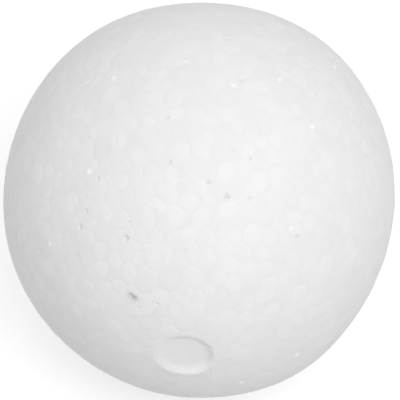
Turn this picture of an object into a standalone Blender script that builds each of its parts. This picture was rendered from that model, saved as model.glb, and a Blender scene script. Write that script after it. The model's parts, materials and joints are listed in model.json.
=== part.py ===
"""A moulded polystyrene ball for craft work and for the bench, modelled as one solid.

The ball is one body of fused foam beads, a little longer along the mould's axis than across it.
The mould leaves three kinds of mark, and each has its true form here: the round recess of the
filler at one pole, the low ridge where the two halves of the mould met, and the small voids
where neighbouring beads did not quite close up.

The origin is the ball's centre. The mould's axis lies along Y with the filler mark on -Y, and
the ridge lies in the XZ plane. +Z is up, and lengths are metres unless a name says otherwise.

A place on the ball is given by two angles in degrees: its turn round the mould's axis, from the
top (+Z) towards +X, and its angle from the filler mark, which is 0 at the mark and 180 at the
other pole.
"""
import math
import random

import bmesh
import bpy
from mathutils import Matrix, Vector

# The ball
BALL_ACROSS = 0.0800            # diameter at the parting line, under the ridge
BALL_LENGTH = 0.0822            # pole to pole, as if the filler mark were not there
HALF_ACROSS = BALL_ACROSS / 2
HALF_LENGTH = BALL_LENGTH / 2

# The filler mark
MARK_ACROSS = 0.0118            # over the rim, where the wall of the recess ends
MARK_DEPTH = 0.0008             # from the rim down to the flat floor
MARK_WALL_RUN = 0.0015          # how far the sloping wall reaches in from the rim
MARK_ROUNDING = 0.0003          # of the floor's corner and of the rim
LIP_HEIGHT = 0.00015            # how far the rim stands above the ball
LIP_RUN = 0.0012                # how far the lip slopes away outside the rim

# The ridge at the parting line
RIDGE_HEIGHT = 0.00012
RIDGE_WIDTH = 0.0010

# The voids between beads, which narrow from a six-sided mouth to a small floor
VOID_SIDES = 6
VOID_DEPTH_SHARE = 0.5          # of the void's own width
VOID_FLOOR_SHARE = 0.35         # of the void's own width
VOID_SLIMNESS = 0.8             # its narrow way over its wide way
OVERCUT_SHARE = 0.3             # how far a cutter stands out of the ball, over the void's width

# The voids on the side that is shown: turn, angle from the filler mark, width in millimetres
SHOWN_VOIDS = (
    (-39, 24, 2.1),
    (-27, 40, 1.6),
    (-24, 44, 1.1),
    (-23, 36, 0.9),
    (-34, 42, 1.0),
    (-40, 51, 1.4),
    (-45, 48, 1.5),
    (-44, 54, 1.1),
    (-32, 58, 1.4),
    (-31, 63, 1.1),
    (-33, 71, 1.2),
    (-24, 68, 1.2),
    (-25, 53, 1.1),
    (-8, 72, 1.4),
    (-7, 59, 1.4),
    (-13, 46, 1.2),
    (-23, 20, 1.3),
    (-70, 51, 1.5),
    (-1, 35, 1.1),
    (4, 49, 1.0),
    (6, 54, 1.4),
    (13, 51, 1.6),
    (21, 52, 1.3),
    (18, 63, 1.3),
    (12, 64, 1.1),
    (44, 48, 1.5),
    (12, 86, 1.4),
    (7, 102, 1.4),
    (25, 95, 1.3),
    (45, 113, 1.5),
    (49, 107, 1.5),
    (55, 101, 1.5),
    (-58, 97, 1.4),
    (-66, 86, 1.4),
)

# The voids on the far side, scattered as they are on the side that is shown
SHOWN_SIDE_TURN = 4             # the middle of the side that is shown
SHOWN_SIDE_FROM_MARK = 49
SHOWN_SIDE_REACH = 84           # degrees from that middle to where the far side starts
FAR_VOID_COUNT = 26
FAR_VOID_WIDTHS_MM = (1.0, 1.7)
FAR_VOID_SPACING = 9            # degrees at least from one void to the next
MARK_CLEARANCE = 14             # degrees at least from the filler mark's centre
RIDGE_CLEARANCE = 3             # degrees at least from the parting line
SCATTER_SEED = 7

# Facets
TURN_STEPS = 64                 # round the mould's axis
ARC_STEPS = 15                  # from the filler mark to the ridge, and from there to the far pole
ROUNDING_STEPS = 3

# Finish of expanded polystyrene
FOAM_COLOUR = (0.87, 0.87, 0.87, 1.0)
FOAM_ROUGHNESS = 0.65


def clear_scene():
    for thing in list(bpy.data.objects):
        bpy.data.objects.remove(thing, do_unlink=True)


def new_collection(name):
    collection = bpy.data.collections.new(name)
    bpy.context.scene.collection.children.link(collection)
    return collection


def foam_material():
    material = bpy.data.materials.new("expanded_polystyrene")
    material.use_nodes = True
    shader = material.node_tree.nodes["Principled BSDF"]
    shader.inputs["Base Color"].default_value = FOAM_COLOUR
    shader.inputs["Roughness"].default_value = FOAM_ROUGHNESS
    shader.inputs["Metallic"].default_value = 0.0
    return material


def arc_of_ball(first, last):
    """Points (distance from the axis, height along it) of the ball's outline, both ends included.

    The angles run from 0 at the filler mark's pole to pi at the other pole.
    """
    points = []
    for step in range(ARC_STEPS + 1):
        angle = first + (last - first) * step / ARC_STEPS
        points.append((HALF_ACROSS * math.sin(angle), HALF_LENGTH * math.cos(angle)))
    return points


def angle_at_distance(out):
    """The outline's angle where it is this far from the axis, on the filler mark's half."""
    return math.asin(out / HALF_ACROSS)


def mark_points():
    """The filler mark in section: the floor's centre, the floor's edge and the rim."""
    rim = MARK_ACROSS / 2
    rim_height = HALF_LENGTH * math.cos(angle_at_distance(rim)) + LIP_HEIGHT
    floor_height = rim_height - MARK_DEPTH
    return [(0.0, floor_height), (rim - MARK_WALL_RUN, floor_height), (rim, rim_height)]


def half_section():
    """The ball's half section, from the filler mark's floor to the other pole."""
    lip_foot = angle_at_distance(MARK_ACROSS / 2 + LIP_RUN)
    ridge_foot = math.acos(RIDGE_WIDTH / 2 / HALF_LENGTH)
    ridge_top = (HALF_ACROSS + RIDGE_HEIGHT, 0.0)
    near_half = arc_of_ball(lip_foot, ridge_foot)
    far_half = arc_of_ball(math.pi - ridge_foot, math.pi)
    return mark_points() + near_half + [ridge_top] + far_half


def section_mesh():
    """The half section as a chain of edges, with the mark's two corners weighted for rounding."""
    bm = bmesh.new()
    rounded = bm.verts.layers.deform.verify()
    verts = [bm.verts.new((out, 0.0, height)) for out, height in half_section()]
    for first, second in zip(verts, verts[1:]):
        bm.edges.new((first, second))
    floor_corner, rim_corner = verts[1], verts[2]
    floor_corner[rounded][0] = 1.0
    rim_corner[rounded][0] = 1.0
    mesh = bpy.data.meshes.new("ball_half_section")
    bm.to_mesh(mesh)
    bm.free()
    return mesh


def turned_ball(collection):
    """The half section with its corners rounded, turned round the mould's axis."""
    ball = bpy.data.objects.new("ball", section_mesh())
    ball.data.materials.append(foam_material())
    corners = ball.vertex_groups.new(name="mark_corners")
    collection.objects.link(ball)

    rounding = ball.modifiers.new("mark_rounding", "BEVEL")
    rounding.affect = "VERTICES"
    rounding.limit_method = "VGROUP"
    rounding.vertex_group = corners.name
    rounding.width = MARK_ROUNDING
    rounding.segments = ROUNDING_STEPS

    turning = ball.modifiers.new("turning", "SCREW")
    turning.axis = "Z"
    turning.angle = math.tau
    turning.steps = TURN_STEPS
    turning.render_steps = TURN_STEPS
    turning.use_merge_vertices = True
    turning.merge_threshold = 0.00001
    turning.use_normal_calculate = True
    turning.use_smooth_shade = True

    # This turns the section's +Z, where the filler mark is, to -Y
    ball.rotation_euler = (math.pi / 2, 0.0, 0.0)
    return ball


def direction(turn, from_mark):
    """The unit vector from the ball's centre to a place on the ball."""
    round_axis = math.radians(turn)
    from_pole = math.radians(from_mark)
    return Vector((
        math.sin(from_pole) * math.sin(round_axis),
        -math.cos(from_pole),
        math.sin(from_pole) * math.cos(round_axis),
    ))


def surface_point(way):
    """Where a line from the centre along this unit vector leaves the ball."""
    across = math.hypot(way.x, way.z) / HALF_ACROSS
    along = way.y / HALF_LENGTH
    return way / math.hypot(across, along)


def surface_normal(point):
    return Vector((
        point.x / HALF_ACROSS ** 2,
        point.y / HALF_LENGTH ** 2,
        point.z / HALF_ACROSS ** 2,
    )).normalized()


def void_mesh():
    """A void's cutter for a width of 1, its mouth at the origin and its floor below."""
    slope = (1 - VOID_FLOOR_SHARE) / 2 / VOID_DEPTH_SHARE
    bm = bmesh.new()
    bmesh.ops.create_cone(
        bm,
        cap_ends=True,
        segments=VOID_SIDES,
        radius1=VOID_FLOOR_SHARE / 2,
        radius2=0.5 + slope * OVERCUT_SHARE,
        depth=VOID_DEPTH_SHARE + OVERCUT_SHARE,
    )
    bmesh.ops.translate(bm, verts=bm.verts, vec=(0.0, 0.0, (OVERCUT_SHARE - VOID_DEPTH_SHARE) / 2))
    bmesh.ops.scale(bm, verts=bm.verts, vec=(1.0, VOID_SLIMNESS, 1.0))
    mesh = bpy.data.meshes.new("void_cutter")
    bm.to_mesh(mesh)
    bm.free()
    return mesh


def far_voids(chance):
    """Places and widths of the far side's voids, clear of the mark, the ridge and each other."""
    shown_side = direction(SHOWN_SIDE_TURN, SHOWN_SIDE_FROM_MARK)
    reach = math.radians(SHOWN_SIDE_REACH)
    spacing = math.radians(FAR_VOID_SPACING)
    taken = [direction(turn, from_mark) for turn, from_mark, width in SHOWN_VOIDS]
    voids = []
    while len(voids) < FAR_VOID_COUNT:
        turn = chance.uniform(-180, 180)
        from_mark = math.degrees(math.acos(chance.uniform(-1, 1)))
        way = direction(turn, from_mark)
        near_mark = from_mark < MARK_CLEARANCE
        near_ridge = abs(from_mark - 90) < RIDGE_CLEARANCE
        near_other = any(way.angle(other) < spacing for other in taken)
        if way.angle(shown_side) < reach or near_mark or near_ridge or near_other:
            continue
        taken.append(way)
        voids.append((turn, from_mark, chance.uniform(*FAR_VOID_WIDTHS_MM)))
    return voids


def place_void_cutters(collection):
    """One cutter for each void, square to the ball's surface and turned by chance about itself."""
    chance = random.Random(SCATTER_SEED)
    mesh = void_mesh()
    for number, (turn, from_mark, width_mm) in enumerate(list(SHOWN_VOIDS) + far_voids(chance)):
        point = surface_point(direction(turn, from_mark))
        upright = surface_normal(point).to_track_quat("Z", "Y").to_matrix().to_4x4()
        spin = Matrix.Rotation(chance.uniform(0, math.tau), 4, "Z")
        cutter = bpy.data.objects.new(f"void_cutter_{number + 1:02d}", mesh)
        cutter.matrix_world = (
            Matrix.Translation(point) @ upright @ spin @ Matrix.Scale(width_mm / 1000, 4)
        )
        cutter.hide_render = True
        cutter.display_type = "WIRE"
        collection.objects.link(cutter)


def cut_voids(ball, cutters):
    cut = ball.modifiers.new("voids", "BOOLEAN")
    cut.operation = "DIFFERENCE"
    cut.solver = "EXACT"
    cut.operand_type = "COLLECTION"
    cut.collection = cutters


def build():
    clear_scene()
    parts = new_collection("polystyrene_ball")
    cutters = new_collection("cutters")
    ball = turned_ball(parts)
    place_void_cutters(cutters)
    cut_voids(ball, cutters)


build()
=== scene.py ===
# %% [markdown]
# # A moulded polystyrene ball
#
# The object is one body of expanded polystyrene. Foam beads, each about 3 mm across, are blown
# into a two-part mould and fused there by steam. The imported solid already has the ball's size,
# the round filler mark at one pole, the low ridge of the parting line and the larger voids.
# What it lacks is the skin: the net of fused beads that everyone knows from this material.
# This script makes that skin as real geometry, gives it the foam's finish, and lights it.

import json
import math
import random

import bmesh
import bpy
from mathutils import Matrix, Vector
from mathutils.kdtree import KDTree
from mathutils.noise import noise


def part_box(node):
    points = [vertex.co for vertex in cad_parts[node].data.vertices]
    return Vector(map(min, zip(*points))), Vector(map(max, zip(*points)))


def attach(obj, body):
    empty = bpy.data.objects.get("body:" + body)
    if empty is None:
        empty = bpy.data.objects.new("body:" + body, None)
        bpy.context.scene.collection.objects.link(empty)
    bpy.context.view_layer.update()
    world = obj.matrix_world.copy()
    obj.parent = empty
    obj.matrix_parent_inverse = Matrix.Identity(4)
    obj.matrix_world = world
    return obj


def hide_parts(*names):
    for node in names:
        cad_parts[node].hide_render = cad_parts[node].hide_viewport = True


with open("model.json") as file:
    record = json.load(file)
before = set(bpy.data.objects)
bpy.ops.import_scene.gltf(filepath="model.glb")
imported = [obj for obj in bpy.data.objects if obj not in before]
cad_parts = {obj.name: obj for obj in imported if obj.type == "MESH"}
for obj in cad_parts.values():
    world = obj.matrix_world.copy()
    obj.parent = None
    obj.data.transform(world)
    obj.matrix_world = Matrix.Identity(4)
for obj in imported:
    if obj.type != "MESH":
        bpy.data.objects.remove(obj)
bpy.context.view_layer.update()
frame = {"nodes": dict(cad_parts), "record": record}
MM = 0.001

# %% [markdown]
# ## The shape under the beads
#
# A turned solid gives its sizes away: its box has the two half sizes, and the mount of the
# filler mark has the height of the mark's floor. The ball is a little longer along the mould's
# axis, which is Y here, so a place on it is easiest to name by two angles: the turn round that
# axis, from the top towards +X, and the angle from the filler mark.

# %% Sizes of the ball and a way to name places on it
RIDGE_HEIGHT = 0.12 * MM
RIDGE_WIDTH = 1.0 * MM

box_low, box_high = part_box("ball")
half_across = box_high.x - RIDGE_HEIGHT
half_length = box_high.y
mark_mount = next(m for m in frame["record"]["mounts"] if m["name"] == "filler_mark")
mark_floor = -mark_mount["pos_m"][1]


def place(turn, from_mark):
    """The unit vector from the ball's centre to a place given by two angles in degrees."""
    round_axis = math.radians(turn)
    from_pole = math.radians(from_mark)
    return Vector((
        math.sin(from_pole) * math.sin(round_axis),
        -math.cos(from_pole),
        math.sin(from_pole) * math.cos(round_axis),
    ))


def on_ball(way):
    """The point where a line from the centre leaves the ball, if the ball were quite smooth."""
    across = math.hypot(way.x, way.z) / half_across
    return way / math.hypot(across, way.y / half_length)


def square_to_ball(point):
    """The unit vector that stands square on the smooth ball at this point."""
    return Vector((
        point.x / half_across ** 2,
        point.y / half_length ** 2,
        point.z / half_across ** 2,
    )).normalized()


print(f"half sizes {half_across / MM:.2f} and {half_length / MM:.2f} mm, floor {mark_floor / MM:.2f} mm")

# %% [markdown]
# ## Where the voids are
#
# A void is a little hollow where beads did not quite close up. The solid has the larger ones cut
# into it, so they can be read from its mesh and need no second list: any point of the mesh that
# lies well below the smooth ball belongs to the floor of a void, apart from the filler mark.
# Points closer together than a bead belong to the same void. In the solid a void is half as deep
# as it is wide, so its depth gives its width.

# %% Read the voids from the solid's mesh
LEAST_VOID_DEPTH = 0.3 * MM
MARK_REACH = math.radians(11)
VOID_WIDTH_OVER_DEPTH = 2.0
SAME_VOID = 0.8 * MM
SAME_POINT = 0.01 * MM


def read_voids(mesh):
    """The voids of the solid, each as a point on the smooth ball and a width."""
    mark = place(0, 0)
    hollows = []
    for vertex in mesh.vertices:
        way = vertex.co.normalized()
        point = on_ball(way)
        depth = point.length - vertex.co.length
        if depth < LEAST_VOID_DEPTH or way.angle(mark) < MARK_REACH:
            continue
        for points, depths in hollows:
            if (points[0] - point).length < SAME_VOID:
                if all((known - point).length > SAME_POINT for known in points):
                    points.append(point)
                depths.append(depth)
                break
        else:
            hollows.append(([point], [depth]))
    found = []
    for points, depths in hollows:
        middle = sum(points, Vector()) / len(points)
        found.append((on_ball(middle.normalized()), max(depths) * VOID_WIDTH_OVER_DEPTH))
    return found


voids = read_voids(frame["nodes"]["ball"].data)
widths = [width / MM for point, width in voids]
print(f"{len(voids)} voids, {min(widths):.2f} to {max(widths):.2f} mm wide")

# %% [markdown]
# ## Bead centres
#
# Beads in a mould are packed about evenly but never in rows. A regular grid would show at once,
# and pure chance would leave gaps and crowds. So the centres start on a spiral that spaces them
# evenly, each is pushed off its place by chance, and a few rounds of smoothing even them out
# again. Each round spans the points anew with a convex hull. On a ball that joins every
# point to its nearest neighbours, which is just what smoothing needs.

# %% Scatter the bead centres over a ball of radius 1
BEAD_COUNT = 2050
BEAD_SEED = 11
PUSH = 0.375
EVENING_ROUNDS = 3
SMOOTHING_SHARE = 0.5
GOLDEN_ANGLE = math.pi * (3 - math.sqrt(5))

chance = random.Random(BEAD_SEED)
bead_spacing = math.sqrt(4 * math.pi / BEAD_COUNT)


def span(bm):
    """Joins the points to their nearest neighbours all over the ball."""
    bmesh.ops.delete(bm, geom=bm.edges[:] + bm.faces[:], context="EDGES_FACES")
    bmesh.ops.convex_hull(bm, input=bm.verts[:])


skin = bmesh.new()
for number in range(BEAD_COUNT):
    along = 1 - (2 * number + 1) / BEAD_COUNT
    out = math.sqrt(1 - along * along)
    turn = number * GOLDEN_ANGLE
    push = Vector([chance.gauss(0, 1) for axis in "xyz"]) * bead_spacing * PUSH
    centre = Vector((out * math.cos(turn), along, out * math.sin(turn))) + push
    bmesh.ops.create_vert(skin, co=centre.normalized())

for evening in range(EVENING_ROUNDS):
    span(skin)
    bmesh.ops.smooth_vert(
        skin, verts=skin.verts, factor=SMOOTHING_SHARE,
        use_axis_x=True, use_axis_y=True, use_axis_z=True,
    )
    for vertex in skin.verts:
        vertex.co.normalize()
print(f"{len(skin.verts)} bead centres, {bead_spacing * half_across / MM:.2f} mm apart")

# %% [markdown]
# ## Beads meet round each void
#
# A void lies where three beads meet. So the three beads nearest to each void are moved together
# a short way, until the middle of their triangle is the void's own place. The next step then
# puts a corner of the net there.

# %% Bring three beads round each void
BEADS_ROUND_A_VOID = 3


def gather_round(bm, way, taken):
    """Moves the free bead centres nearest to this direction so that they surround it."""
    free = [vertex for vertex in bm.verts if vertex not in taken]
    by_distance = sorted(free, key=lambda vertex: (vertex.co - way).length_squared)
    nearest = by_distance[:BEADS_ROUND_A_VOID]
    middle = sum((vertex.co for vertex in nearest), Vector()) / BEADS_ROUND_A_VOID
    shift = way - middle
    for vertex in nearest:
        vertex.co = (vertex.co + shift).normalized()
        taken.add(vertex)


taken = set()
for point, width in voids:
    gather_round(skin, point.normalized(), taken)
span(skin)
print(f"{len(taken)} beads stand round {len(voids)} voids")

# %% [markdown]
# ## From centres to beads
#
# Each bead is the patch of skin nearer to its own centre than to any other. The triangles
# between centres already hold those patches. Poking every triangle puts a corner in its middle,
# turning each old edge across its two triangles joins these corners, and dissolving the centres
# leaves one face for each bead. Only now does the net get the ball's true size. Corners that
# fall close together are merged, because real beads squeeze such short sides away.

# %% Make one face for each bead
SHORTEST_SIDE = 0.65 * MM

centres = skin.verts[:]
spans = skin.edges[:]
bmesh.ops.poke(skin, faces=skin.faces[:])
bmesh.ops.rotate_edges(skin, edges=spans, use_ccw=False)
bmesh.ops.dissolve_verts(skin, verts=centres)
bmesh.ops.scale(skin, verts=skin.verts, vec=(half_across, half_length, half_across))
bmesh.ops.remove_doubles(skin, verts=skin.verts, dist=SHORTEST_SIDE)
print(f"{len(skin.faces)} beads")

# %% [markdown]
# ## Notes kept on the skin
#
# The skin carries four notes. Each bead keeps a tone, for how white it is. Each point keeps how
# far it will stand above or below the smooth ball, how much painted shade a void lays on it, and
# how far it belongs to a bead that stands proud. Nothing is lifted yet, so points that are added
# between others later take their share of these numbers. A new layer of notes makes every older
# handle on a point or a face useless, so all four are made here, before the faces are listed.

# %% Layers for tone, lift, painted void shade and proud beads
tone = skin.faces.layers.float.new("bead_tone")
lift = skin.verts.layers.float.new("lift")
painted_void_shade = skin.verts.layers.float.new("painted_void_shade")
proud = skin.verts.layers.float.new("proud")

for face in skin.faces:
    face[tone] = chance.random()
tones = [face[tone] for face in skin.faces]
print(f"tones from {min(tones):.2f} to {max(tones):.2f}, where 0 is greyer and 1 is whiter")

# %% [markdown]
# ## Gaps and grooves
#
# Two beads meet in a fine groove, and three leave a tiny gap between their rounded corners. A
# bevel of the corners alone cuts those gaps. All points of the net then lie at the bottom of a
# groove, some deeper than others. The whole skin also stays a little below the smooth ball, so
# that no bead leaves the solid's box.

# %% Cut the gaps and note the depth of the grooves
GAP_CUT = 0.28 * MM
SKIN_DROP = 0.08 * MM
GROOVE_DEPTH = 0.03 * MM
GROOVE_UNEVENNESS = 0.6

gaps = set(bmesh.ops.bevel(
    skin, geom=skin.verts[:], offset=GAP_CUT, offset_type="OFFSET", segments=1, profile=0.5,
    affect="VERTICES", material=-1, clamp_overlap=True,
)["faces"])
bead_faces = [face for face in skin.faces if face not in gaps]
for vertex in skin.verts:
    unevenness = 1 + GROOVE_UNEVENNESS * chance.uniform(-1, 1)
    vertex[lift] = -SKIN_DROP - GROOVE_DEPTH * unevenness
print(f"{len(gaps)} gaps between {len(bead_faces)} beads")

# %% [markdown]
# ## Shoulders and crowns
#
# The mould presses a bead flat but leaves it a soft shoulder. Two insets ring each bead, the
# first for its shoulder and the second for its crown, and a poke gives it a middle. No bead lies
# quite level with the next: each leans a trace to one side and stands a trace high or low, which
# is what catches the light on real foam. Edges that come out shorter than a hair are dissolved,
# because they would leave folds in the skin when it is split finer.

# %% Ring the beads and note how high each ring stands
SHOULDER_RUN = 0.22 * MM
SHOULDER_DROP = 0.01 * MM
CROWN_SHARE = 0.62
CROWN_LIFT = 0.012 * MM
BEAD_TILT = 0.009
BEAD_LEVEL = 0.01 * MM
SHORTEST_EDGE = 0.04 * MM

bmesh.ops.inset_individual(skin, faces=bead_faces, thickness=SHOULDER_RUN, use_even_offset=True)
bead_lean = {}
for face in bead_faces:
    middle = face.calc_center_median()
    lean = Vector([chance.gauss(0, BEAD_TILT) for axis in "xyz"])
    level = chance.gauss(0, BEAD_LEVEL) - SKIN_DROP
    bead_lean[face] = (middle, lean, level)
    for vertex in face.verts:
        vertex[lift] = level - SHOULDER_DROP + lean.dot(vertex.co - middle)

bmesh.ops.inset_individual(skin, faces=bead_faces, thickness=0.0)
for face in bead_faces:
    middle, lean, level = bead_lean[face]
    for vertex in face.verts:
        vertex.co = middle.lerp(vertex.co, CROWN_SHARE)
        vertex[lift] = level + lean.dot(vertex.co - middle)

crown_levels = [bead_lean[face][2] for face in bead_faces]
crowns = bmesh.ops.poke(skin, faces=bead_faces)["verts"]
for vertex, level in zip(crowns, crown_levels):
    vertex[lift] = level + CROWN_LIFT
bmesh.ops.dissolve_degenerate(skin, edges=skin.edges, dist=SHORTEST_EDGE)
print(f"{len(crowns)} crowns, {len(skin.verts)} points, {len(skin.faces)} faces")

# %% [markdown]
# ## Proud beads
#
# Here and there a small, hard bead did not soften like the rest. It stands a little proud as a
# pimple and looks a shade whiter. Each is named by its turn, its angle from the filler mark and
# its width in millimetres. A search tree will later find the nearest proud bead or void quickly
# for each of the many points of the skin.

# %% Places of the proud beads
PROUD_BEADS = (
    (-25, 88, 1.8),
    (-4, 91, 1.6),
    (10, 84, 2.1),
    (23, 90, 1.6),
    (35, 79, 2.0),
    (43, 108, 1.8),
    (-35, 61, 1.8),
    (40, 49, 1.3),
    (-63, 50, 1.7),
    (107, 34, 2.0),
    (136, 23, 1.4),
    (150, 95, 1.4),
    (-120, 92, 1.5),
    (-160, 118, 1.3),
    (100, 130, 1.4),
)
proud_beads = [(on_ball(place(turn, from_mark)), width * MM) for turn, from_mark, width in PROUD_BEADS]


def tree_of(dots):
    """A search tree over dots, each of them a point and a width."""
    tree = KDTree(len(dots))
    for index, (point, width) in enumerate(dots):
        tree.insert(point, index)
    tree.balance()
    return tree


void_tree = tree_of(voids)
proud_tree = tree_of(proud_beads)
print(f"{len(proud_beads)} proud beads")

# %% [markdown]
# ## Section of the filler mark
#
# The beads are blown in through a round hole, which a plunger then closes. It leaves a round
# recess with a flat floor, a sloping wall and a rim. A recess that is turned needs only its
# section: three straight lines from the axis outwards, for the floor, the wall and the lip. A
# mean over a few places on both sides of a point rounds the corners, as soft foam does. This
# plunger stood a little askew. So the flat floor is tilted, and the rim is pushed up at the
# bottom and drawn in at the top.

# %% Height of the filler mark at any distance from the axis
MARK_RIM = 5.9 * MM
MARK_WALL_RUN = 1.5 * MM
LIP_RUN = 1.2 * MM
LOWER_LIP = 0.26 * MM
UPPER_LIP = -0.13 * MM
MARK_ROUNDING = 0.45 * MM
ROUNDING_WEIGHTS = {-1: 1, -0.5: 2, 0: 3, 0.5: 2, 1: 1}
MARK_TILT = math.radians(4)
MARK_LOW_TURN = math.radians(75)


def ball_height(out):
    """Height of the smooth ball along the mould's axis, this far from the axis."""
    return half_length * math.sqrt(1 - (out / half_across) ** 2)


def smooth_step(low, high, value):
    """0 below the low value and 1 above the high one, with a soft rise between them."""
    share = min(max((value - low) / (high - low), 0), 1)
    return share * share * (3 - 2 * share)


def sharp_mark_height(out, lip):
    """Height of the mark's section with sharp corners, where the rim is pushed up by the lip."""
    section = (
        (0.0, mark_floor),
        (MARK_RIM - MARK_WALL_RUN, mark_floor),
        (MARK_RIM, ball_height(MARK_RIM) + lip),
        (MARK_RIM + LIP_RUN, ball_height(MARK_RIM + LIP_RUN)),
    )
    for (near, low), (far, high) in zip(section, section[1:]):
        if near <= out <= far:
            return low + (high - low) * (out - near) / (far - near)
    return ball_height(out)


def mark_height(point):
    """Height of the mark over a point of the smooth ball, with rounded corners and its tilt."""
    out = max(math.hypot(point.x, point.z), SAME_POINT)
    upper_share = (1 + point.z / out) / 2
    lip = LOWER_LIP + (UPPER_LIP - LOWER_LIP) * upper_share
    heights = [
        weight * sharp_mark_height(abs(out + share * MARK_ROUNDING), lip)
        for share, weight in ROUNDING_WEIGHTS.items()
    ]
    to_low_side = point.x * math.sin(MARK_LOW_TURN) + point.z * math.cos(MARK_LOW_TURN)
    floor_share = 1 - smooth_step(MARK_RIM - MARK_WALL_RUN, MARK_RIM, out)
    tilt = math.tan(MARK_TILT) * to_low_side * floor_share
    return sum(heights) / sum(ROUNDING_WEIGHTS.values()) - tilt


rim_heights = [mark_height(Vector((0, 0, side * MARK_RIM))) / MM for side in (1, -1)]
print(f"rim at {rim_heights[0]:.2f} mm on top and {rim_heights[1]:.2f} mm at the bottom")

# %% [markdown]
# ## Finer faces where the shape is finer
#
# The rings follow the beads well, but the filler mark's wall, the ridge, the voids and the proud
# beads are finer than a bead. Splitting every edge of the skin would cost too many faces. So
# only the edges near one of these forms are split, again and again, until each is as short as
# the form there needs. Both ends of an edge are tested as well as its middle, because a long
# edge can reach into a small form and still have its middle outside.

# %% How long an edge may be
MARK_EDGE = 0.35 * MM
RIDGE_EDGE = 0.5 * MM
EDGES_ACROSS_A_DOT = 8
DOT_MARGIN = 0.5

dots = voids + proud_beads
dot_tree = tree_of(dots)


def longest_edge(point):
    """How long an edge of the skin may be at this point of the smooth ball, in metres."""
    allowed = []
    out = math.hypot(point.x, point.z)
    wall_foot = MARK_RIM - MARK_WALL_RUN - MARK_ROUNDING
    if point.y < 0 and wall_foot < out < MARK_RIM + LIP_RUN:
        allowed.append(MARK_EDGE)
    if abs(point.y) < RIDGE_WIDTH:
        allowed.append(RIDGE_EDGE)
    nearest, index, distance = dot_tree.find(point)
    width = dots[index][1]
    if distance < width * DOT_MARGIN:
        allowed.append(width / EDGES_ACROSS_A_DOT)
    return min(allowed, default=math.inf)


def edges_to_split(bm):
    """The edges that are too long for the place of their middle or of either end."""
    at_end = {vertex: longest_edge(on_ball(vertex.co.normalized())) for vertex in bm.verts}
    found = []
    for edge in bm.edges:
        one, other = edge.verts
        middle = on_ball(((one.co + other.co) / 2).normalized())
        if edge.calc_length() > min(at_end[one], at_end[other], longest_edge(middle)):
            found.append(edge)
    return found


print(f"{len(edges_to_split(skin))} of {len(skin.edges)} edges are too long")

# %% [markdown]
# ## Splitting in rounds
#
# Each round halves the edges that are still too long. Faces with more than three corners are cut
# into triangles first, because the split of a triangle leaves only triangles and so stays tidy
# however many of its edges are halved.

# %% Split the edges near fine forms
SPLITTING_ROUNDS = 4

for splitting in range(SPLITTING_ROUNDS):
    too_long = set(edges_to_split(skin))
    many_sided = [face for face in skin.faces if len(face.verts) > 3]
    around = [face for face in many_sided if not too_long.isdisjoint(face.edges)]
    bmesh.ops.triangulate(skin, faces=around)
    too_long = edges_to_split(skin)
    bmesh.ops.subdivide_edges(skin, edges=too_long, cuts=1)
    print(f"round {splitting + 1}: {len(too_long)} edges split")

# %% [markdown]
# ## Opening the folds
#
# On a narrow bead the rings of shoulder and crown can cross, and where they do, a few tiny faces
# are folded over and look into the ball. All faces are made triangles now, so that each can be
# tested by itself: its normal has to agree with the way out from the centre. Smoothing only the
# corners of the folded ones, a few times over, lets the folds slide open.

# %% Open the folds
UNFOLDING_ROUNDS = 10
LEAST_OUTWARD = 0.9


def folded_faces(bm):
    """The faces that do not look outwards, and those that have no area at all."""
    bm.normal_update()
    ways_out = [face.calc_center_median().normalized() for face in bm.faces]
    return [face for face, out in zip(bm.faces, ways_out) if face.normal.dot(out) < LEAST_OUTWARD]


bmesh.ops.triangulate(skin, faces=skin.faces[:])
for unfolding in range(UNFOLDING_ROUNDS):
    folded = folded_faces(skin)
    print(f"round {unfolding + 1}: {len(folded)} folded faces")
    corners = {vertex for face in folded for vertex in face.verts}
    bmesh.ops.smooth_vert(
        skin, verts=[vertex for vertex in skin.verts if vertex in corners],
        factor=SMOOTHING_SHARE, use_axis_x=True, use_axis_y=True, use_axis_z=True,
    )

# %% [markdown]
# ## Broad forms
#
# Foam relaxes when it leaves the mould, so no such ball is quite round. Broad swells and
# hollows, the largest of 0.55 mm, give the outline its slight flats. The ridge of the parting
# line is worn and comes and goes in short lengths. Both are short formulas of a point's own
# place, so the order of the points does not matter.

# %% Swells and the broken ridge
SWELL_REACH = math.radians(13)
SWELLS = (
    (95, 83, -0.27),
    (110, 65, -0.29),
    (134, 47, 0.46),
    (166, 37, -0.11),
    (-141, 41, -0.21),
    (-97, 72, 0.20),
    (-44, 125, 0.09),
    (-7, 136, -0.44),
    (50, 125, 0.55),
    (74, 107, 0.14),
)
swells = [(place(turn, from_mark), height * MM) for turn, from_mark, height in SWELLS]
WAVE_DEPTH = 0.07 * MM
WAVE_LENGTH = 10 * MM
RIDGE_PATCH = 3.5 * MM
FULL_RIDGE_NOISE = 0.5
LEAST_RIDGE = 0.1
MOST_RIDGE = 0.7


def broad_lift(way):
    """The swells and hollows, with slight waves that only ever take the skin inwards."""
    lifts = [h * math.exp(-0.5 * (way.angle(middle) / SWELL_REACH) ** 2) for middle, h in swells]
    waves = 0.5 * noise(on_ball(way) / WAVE_LENGTH) - 0.5
    return sum(lifts) + waves * WAVE_DEPTH


def ridge_lift(point):
    """The ridge of the parting line, which comes and goes in patches along its length."""
    across = abs(point.y) / (RIDGE_WIDTH / 2)
    if across > 1:
        return 0.0
    along_ridge = noise(Vector((point.x, 0, point.z)) / RIDGE_PATCH)
    patch = smooth_step(0.0, FULL_RIDGE_NOISE, along_ridge)
    height = RIDGE_HEIGHT * (LEAST_RIDGE + (MOST_RIDGE - LEAST_RIDGE) * patch)
    return height * (1 - across)


print(f"{len(swells)} swells and hollows")
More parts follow.
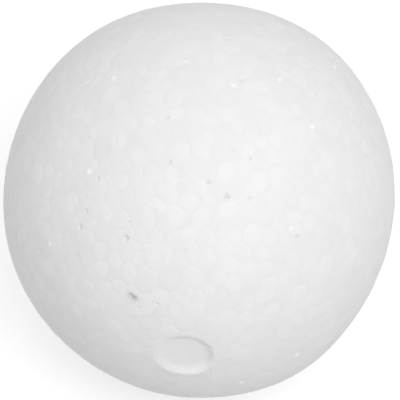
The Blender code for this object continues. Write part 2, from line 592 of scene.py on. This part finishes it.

# %% [markdown]
# ## Small forms
#
# A void narrows inwards from a mouth of three lobes, because three round beads leave it. Wide
# voids are also the deep ones and carry the darkest painted shade, and the smallest are hardly
# more than dimples. The painted shade of a void fades out a little way past its mouth. A proud
# bead is a low dome.

# %% Voids and proud beads
WIDEST_VOID = max(width for point, width in voids)
NARROW_MOUTH_SHARE = 0.35
LOBES = 3
LOBE_DEPTH = 0.12
VOID_FLOOR_SHARE = 0.25
OPENNESS_POWER = 5
SHADE_START = 0.8
SHADE_END = 1.6
PROUD_HEIGHT_SHARE = 0.11


def void_at(point):
    """How far the nearest void takes the skin in, and how much painted shade it lays on the colour, from
    0 to 1.
    """
    nearest, index, distance = void_tree.find(point)
    middle, width = voids[index]
    if distance > width:
        return 0.0, 0.0
    side = square_to_ball(middle).orthogonal()
    other = square_to_ball(middle).cross(side)
    aside = point - middle
    turn = math.atan2(aside.dot(other), aside.dot(side))
    openness = NARROW_MOUTH_SHARE + (1 - NARROW_MOUTH_SHARE) * width / WIDEST_VOID
    reach = width / 2 * openness * (1 + LOBE_DEPTH * math.sin(LOBES * turn + index))
    strength = openness ** OPENNESS_POWER
    sunk = width / 2 * strength * (1 - smooth_step(VOID_FLOOR_SHARE, 1.0, distance / reach))
    # Painted shade for the colour, fading out a little way past the void's mouth.
    shade = strength * (1 - smooth_step(SHADE_START, SHADE_END, distance / reach))
    return sunk, shade


def proud_at(point):
    """How far a proud bead lifts the skin here, and how white it is, from 0 to 1."""
    nearest, index, distance = proud_tree.find(point)
    width = proud_beads[index][1]
    dome = 1 - smooth_step(0.0, 1.0, distance / (width / 2))
    return width * PROUD_HEIGHT_SHARE * dome, dome


print(f"the widest void is {WIDEST_VOID / 2 / MM:.2f} mm deep")

# %% [markdown]
# ## The true shape
#
# Every point now goes to the smooth ball and from there by its lift, square to the ball, with
# the broad and the small forms on top. On the filler mark its height along the mould's axis
# comes from the mark's section instead. The plunger pressed the beads flatter there, and a nick
# broke the wall at one place.

# %% Move every point of the skin to its place
MARK_RELIEF_SHARE = 0.4
NICK_TURN = 62
NICK_FROM_MARK = 7.6
NICK_REACH = 0.85 * MM
NICK_DEPTH = 0.3 * MM

nick = on_ball(place(NICK_TURN, NICK_FROM_MARK))
for vertex in skin.verts:
    way = vertex.co.normalized()
    point = on_ball(way)
    out = math.hypot(point.x, point.z)
    if point.y < 0 and out < MARK_RIM:
        vertex[lift] = MARK_RELIEF_SHARE * (vertex[lift] + SKIN_DROP) - SKIN_DROP
    # The void's second number is painted shade, kept as a note for the colour.
    sunk, vertex[painted_void_shade] = void_at(point)
    raised, vertex[proud] = proud_at(point)
    rise = vertex[lift] + broad_lift(way) + ridge_lift(point) + raised - sunk
    placed = point + square_to_ball(point) * rise
    if point.y < 0 and out < MARK_RIM + LIP_RUN + MARK_ROUNDING:
        nicked = NICK_DEPTH * (1 - smooth_step(0.0, 1.0, (point - nick).length / NICK_REACH))
        placed.y = nicked - mark_height(point) - rise
    vertex.co = placed
print("closed skin:", all(edge.is_manifold for edge in skin.edges))

# %% [markdown]
# ## From skin to object
#
# The finished skin becomes a mesh of its own object, which stays at the origin, unturned and
# unscaled. Its layers turn into attributes of the same names, which the material can read. The
# faces share smooth normals, because foam has no sharp facets anywhere.

# %% Make the ball's object
ball_mesh = bpy.data.meshes.new("polystyrene_ball")
skin.to_mesh(ball_mesh)
skin.free()
ball_mesh.shade_smooth()
ball = bpy.data.objects.new("polystyrene_ball", ball_mesh)
bpy.context.scene.collection.objects.link(ball)
triangles = sum(len(polygon.vertices) - 2 for polygon in ball_mesh.polygons)
print(f"{triangles} triangles, attributes {[a.name for a in ball_mesh.attributes]}")

# %% [markdown]
# ## Helpers for materials
#
# Colours are written as the sRGB values that a colour picker shows, and a shader needs them
# linear. The other helper adds one node of any kind. A Mix node keeps sockets for numbers,
# vectors and colours side by side under the same names, so the colour ones go by their number.

# %% Two helpers and the colour sockets of a Mix node
MIX_FROM = 6
MIX_TO = 7
MIX_RESULT = 2


def linear(hex_colour):
    """An sRGB colour such as #F2F2F0 as the linear values that a shader needs."""
    channels = [int(hex_colour[start:start + 2], 16) / 255 for start in (1, 3, 5)]
    bent = [c / 12.92 if c <= 0.04045 else ((c + 0.055) / 1.055) ** 2.4 for c in channels]
    return (*bent, 1.0)


def add_node(tree, kind, settings=None, values=None, links=None):
    """Adds a node with its settings, and with fixed values or links for its inputs."""
    node = tree.nodes.new(kind)
    for name, setting in (settings or {}).items():
        setattr(node, name, setting)
    for name, value in (values or {}).items():
        node.inputs[name].default_value = value
    for name, source in (links or {}).items():
        tree.links.new(source, node.inputs[name])
    return node


print("white foam is about", [round(c, 3) for c in linear("#F2F2F2")[:3]], "in linear values")

# %% [markdown]
# ## The finish: expanded polystyrene, steam-moulded
#
# The foam is white because its thin cell walls scatter light, not because of a pigment. So it is
# nearly as pale as white paper, and quite without a tint. One bead is a trace whiter than the
# next, by how far it was blown. The grooves are greyed with painted shade, the more the deeper a
# point lies, which draws the net of beads as fine grey lines. The lift that each point keeps
# says where the grooves are, so the lines need no pattern of their own.

# %% Tone of the beads and painted shade in their grooves
foam = bpy.data.materials.new("expanded_polystyrene")
foam.use_nodes = True
foam_nodes = foam.node_tree
foam_nodes.nodes.clear()

bead_tone = add_node(foam_nodes, "ShaderNodeAttribute", {"attribute_name": "bead_tone"})
bead_colour = add_node(
    foam_nodes, "ShaderNodeMix", {"data_type": "RGBA"},
    {MIX_FROM: linear("#F0F0F0"), MIX_TO: linear("#F4F4F4")},
    {"Factor": bead_tone.outputs["Fac"]},
)

stand = add_node(foam_nodes, "ShaderNodeAttribute", {"attribute_name": "lift"})
# Painted shade in the grooves: the lower a point lies, the greyer its colour.
painted_groove_shade = add_node(
    foam_nodes, "ShaderNodeMapRange", None,
    {"From Min": -SKIN_DROP - SHOULDER_DROP, "From Max": -SKIN_DROP - GROOVE_DEPTH},
    {"Value": stand.outputs["Fac"]},
)
groove_shaded_colour = add_node(
    foam_nodes, "ShaderNodeMix", {"data_type": "RGBA"},
    {MIX_TO: linear("#F0F0F0")},
    {"Factor": painted_groove_shade.outputs["Result"], MIX_FROM: bead_colour.outputs[MIX_RESULT]},
)
print(f"grooves are grey from {SHOULDER_DROP / MM:.2f} to {GROOVE_DEPTH / MM:.2f} mm down")

# %% [markdown]
# ## Clouds, voids and proud beads in the tone
#
# Over a few beads the foam is a shade denser or lighter, which shows as faint clouds. Inside a
# void the colour is greyed with painted shade. A proud bead was blown less, so it is denser and
# whiter.

# %% Add the larger differences of tone
CLOUD_SIZE = 9 * MM
NOISE_DETAIL = 3.0

place_on_ball = add_node(foam_nodes, "ShaderNodeTexCoord").outputs["Object"]
clouds = add_node(
    foam_nodes, "ShaderNodeTexNoise", None,
    {"Scale": 1 / CLOUD_SIZE, "Detail": NOISE_DETAIL},
    {"Vector": place_on_ball},
)
cloudy_colour = add_node(
    foam_nodes, "ShaderNodeMix", {"data_type": "RGBA", "blend_type": "MULTIPLY"},
    {MIX_TO: linear("#F9F9F9")},
    {"Factor": clouds.outputs["Fac"], MIX_FROM: groove_shaded_colour.outputs[MIX_RESULT]},
)

# Painted shade in the voids: the colour goes greyer where the note says the void is shaded.
void_shade_note = add_node(foam_nodes, "ShaderNodeAttribute", {"attribute_name": "painted_void_shade"})
shaded_colour = add_node(
    foam_nodes, "ShaderNodeMix", {"data_type": "RGBA"},
    {MIX_TO: linear("#E0E0E0")},
    {"Factor": void_shade_note.outputs["Fac"], MIX_FROM: cloudy_colour.outputs[MIX_RESULT]},
)

bead_pride = add_node(foam_nodes, "ShaderNodeAttribute", {"attribute_name": "proud"})
foam_colour = add_node(
    foam_nodes, "ShaderNodeMix", {"data_type": "RGBA"},
    {MIX_TO: linear("#FCFCFC")},
    {"Factor": bead_pride.outputs["Fac"], MIX_FROM: shaded_colour.outputs[MIX_RESULT]},
)
print(f"clouds {CLOUD_SIZE / MM:.0f} mm across")

# %% [markdown]
# ## Gloss and depth
#
# The skin of a bead is a film of solid polystyrene, so it has that plastic's refraction, but
# the film is wrinkled and gives only a satin sheen. Light goes a few tenths of a millimetre into
# the foam and comes out beside where it entered, which softens every small edge. The wrinkles
# are the outlines of foam cells. Real cells are 0.1 to 0.2 mm across, too fine for this picture,
# so they are drawn 0.45 mm across.

# %% Put the foam's shader together
GRAIN_SIZE = 0.45 * MM
GRAIN_HEIGHT = 0.05 * MM
GRAIN_STRENGTH = 0.15
POLYSTYRENE_IOR = 1.59
SATIN_ROUGHNESS = 0.55
SHEEN_LEVEL = 0.23
SCATTERED_SHARE = 0.5
LIGHT_DEPTH = 0.6 * MM

grain = add_node(
    foam_nodes, "ShaderNodeTexNoise", None,
    {"Scale": 1 / GRAIN_SIZE, "Detail": NOISE_DETAIL},
    {"Vector": place_on_ball},
)
wrinkles = add_node(
    foam_nodes, "ShaderNodeBump", None,
    {"Strength": GRAIN_STRENGTH, "Distance": GRAIN_HEIGHT},
    {"Height": grain.outputs["Fac"]},
)
shader = add_node(
    foam_nodes, "ShaderNodeBsdfPrincipled", None,
    {
        "Roughness": SATIN_ROUGHNESS,
        "IOR": POLYSTYRENE_IOR,
        "Specular IOR Level": SHEEN_LEVEL,
        "Subsurface Weight": SCATTERED_SHARE,
        "Subsurface Radius": (1.0, 1.0, 1.0),
        "Subsurface Scale": LIGHT_DEPTH,
    },
    {"Base Color": foam_colour.outputs[MIX_RESULT], "Normal": wrinkles.outputs["Normal"]},
)
add_node(foam_nodes, "ShaderNodeOutputMaterial", links={"Surface": shader.outputs["BSDF"]})
ball_mesh.materials.append(foam)
print(f"{len(foam_nodes.nodes)} nodes make the foam")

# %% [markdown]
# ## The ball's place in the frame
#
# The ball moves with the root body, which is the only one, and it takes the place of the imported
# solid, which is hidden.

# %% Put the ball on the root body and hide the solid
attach(ball, "root")
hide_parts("ball")

# %% [markdown]
# ## Floor
#
# The ball lies on a wide pale card, which touches the lowest point of the solid's box. One flat
# face is enough for it. It keeps the ball's shadow and throws a little light up at the ball.

# %% A sheet of card under the ball
FLOOR_SIZE = 6.0

floor_sheet = bmesh.new()
bmesh.ops.create_grid(floor_sheet, x_segments=1, y_segments=1, size=FLOOR_SIZE / 2)
bmesh.ops.translate(floor_sheet, verts=floor_sheet.verts, vec=(0, 0, box_low.z))
floor_mesh = bpy.data.meshes.new("floor")
floor_sheet.to_mesh(floor_mesh)
floor_sheet.free()
floor = bpy.data.objects.new("floor", floor_mesh)
bpy.context.scene.collection.objects.link(floor)
print(f"floor {-box_low.z / MM:.2f} mm below the ball's centre")

# %% [markdown]
# ## The finish of the floor: matt card
#
# The photograph shows plain white round the ball, but a card that is truly so white would throw
# too much light up at it. So the card is a pale grey, uncoated and without any gloss, and a glow
# lifts it to white. Only rays that come straight from the camera, off a gloss or through glass
# meet this glow. It shows a trace in the ball's satin sheen, but adds no diffuse light.

# %% Matt card with a glow for the camera
FLOOR_GLOW = 0.54


def seen_directly(tree):
    """An output that is 1 for camera, glossy and transmission rays and 0 for all others."""
    ray = add_node(tree, "ShaderNodeLightPath")
    camera_or_gloss = add_node(
        tree, "ShaderNodeMath", {"operation": "MAXIMUM"},
        links={0: ray.outputs["Is Camera Ray"], 1: ray.outputs["Is Glossy Ray"]},
    )
    any_of_them = add_node(
        tree, "ShaderNodeMath", {"operation": "MAXIMUM"},
        links={0: camera_or_gloss.outputs[0], 1: ray.outputs["Is Transmission Ray"]},
    )
    return any_of_them.outputs[0]


card = bpy.data.materials.new("matt_card")
card.use_nodes = True
card_nodes = card.node_tree
card_nodes.nodes.clear()
card_face = add_node(card_nodes, "ShaderNodeBsdfDiffuse", None, {"Color": linear("#CCCCCC")})
glow_level = add_node(
    card_nodes, "ShaderNodeMath", {"operation": "MULTIPLY"},
    {1: FLOOR_GLOW}, {0: seen_directly(card_nodes)},
)
glow = add_node(card_nodes, "ShaderNodeEmission", links={"Strength": glow_level.outputs[0]})
glowing_card = add_node(
    card_nodes, "ShaderNodeAddShader", links={0: card_face.outputs[0], 1: glow.outputs[0]}
)
add_node(card_nodes, "ShaderNodeOutputMaterial", links={"Surface": glowing_card.outputs[0]})
floor_mesh.materials.append(card)
print(f"the card glows by {FLOOR_GLOW} where it is seen")

# %% [markdown]
# ## Light from all round
#
# The tones of the photograph come from two lights. The first is an even one from all round, as
# in a white photo tent. The world gives it as a pale grey, and where the world itself is seen it
# is white, as the photograph's background is.

# %% World
WORLD_LEVEL = 0.69

world = bpy.data.worlds.new("photo_tent")
bpy.context.scene.world = world
world.use_nodes = True
sky = world.node_tree
sky.nodes.clear()
sky_level = add_node(
    sky, "ShaderNodeMapRange", None,
    {"To Min": WORLD_LEVEL, "To Max": 1.0}, {"Value": seen_directly(sky)},
)
background = add_node(
    sky, "ShaderNodeBackground", None,
    {"Color": linear("#FFFFFF")}, {"Strength": sky_level.outputs["Result"]},
)
add_node(sky, "ShaderNodeOutputWorld", links={"Surface": background.outputs[0]})
print(f"world at {WORLD_LEVEL} of white")

# %% [markdown]
# ## Camera
#
# The filler mark's place in the photograph gives the angle from which the ball was taken. A long
# lens at the distance of a table-top studio keeps the shape calm, and its focal length is worked
# out from the ball's size in the picture. A small shift puts the ball's middle where it is there.
# Seen from this height, the outline is a little longer than the ball is across.

# %% Camera at the photograph's angle
CAMERA_AZIMUTH = math.radians(4.2)
CAMERA_ELEVATION = math.radians(49.0)
CAMERA_DISTANCE = 0.6
PHOTO_SIDE_PX = 400
BALL_RADIUS_PX = 198.5
BALL_MIDDLE_PX = (199.65, 199.0)
LENGTH_SHARE = 0.4

outline_radius = half_across + LENGTH_SHARE * (half_length - half_across)
to_camera = Vector((
    math.sin(CAMERA_AZIMUTH) * math.cos(CAMERA_ELEVATION),
    -math.cos(CAMERA_AZIMUTH) * math.cos(CAMERA_ELEVATION),
    math.sin(CAMERA_ELEVATION),
))


def aim(thing, way, distance):
    """Puts a camera or lamp this far from the ball's centre, looking back at it."""
    thing.location = way * distance
    thing.rotation_mode = "QUATERNION"
    thing.rotation_quaternion = (-way).to_track_quat("-Z", "Y")
    bpy.context.scene.collection.objects.link(thing)


camera_data = bpy.data.cameras.new("camera")
camera = bpy.data.objects.new("camera", camera_data)
aim(camera, to_camera, CAMERA_DISTANCE)
bpy.context.scene.camera = camera
half_view = math.asin(outline_radius / CAMERA_DISTANCE)
lens_px = BALL_RADIUS_PX / math.tan(half_view)
camera_data.lens = camera_data.sensor_width * lens_px / PHOTO_SIDE_PX
camera_data.shift_x = (PHOTO_SIDE_PX / 2 - BALL_MIDDLE_PX[0]) / PHOTO_SIDE_PX
camera_data.shift_y = (BALL_MIDDLE_PX[1] - PHOTO_SIDE_PX / 2) / PHOTO_SIDE_PX
print(f"lens {camera_data.lens:.0f} mm")

# %% [markdown]
# ## Key lamp
#
# The photograph's second light is a large soft lamp close to the camera, a little to its right.
# It is a wide disk, so the shading runs softly to the edge of the ball and the raised forms have
# no hard shadows.

# %% Key lamp close to the camera
KEY_RIGHT = 0.275
KEY_UP = 0.095
KEY_DISTANCE = 0.9
KEY_SIZE = 0.5
KEY_POWER = 2.9

camera_right = Vector((math.cos(CAMERA_AZIMUTH), math.sin(CAMERA_AZIMUTH), 0))
camera_up = to_camera.cross(camera_right)
to_key = (to_camera + camera_right * KEY_RIGHT + camera_up * KEY_UP).normalized()
key_data = bpy.data.lights.new("key", "AREA")
key_data.shape = "DISK"
key_data.size = KEY_SIZE
key_data.energy = KEY_POWER
key = bpy.data.objects.new("key", key_data)
aim(key, to_key, KEY_DISTANCE)
key.visible_camera = False
bpy.context.scene.view_settings.view_transform = "Standard"
print(f"key lamp {math.degrees(to_key.angle(to_camera)):.0f} degrees from the camera")
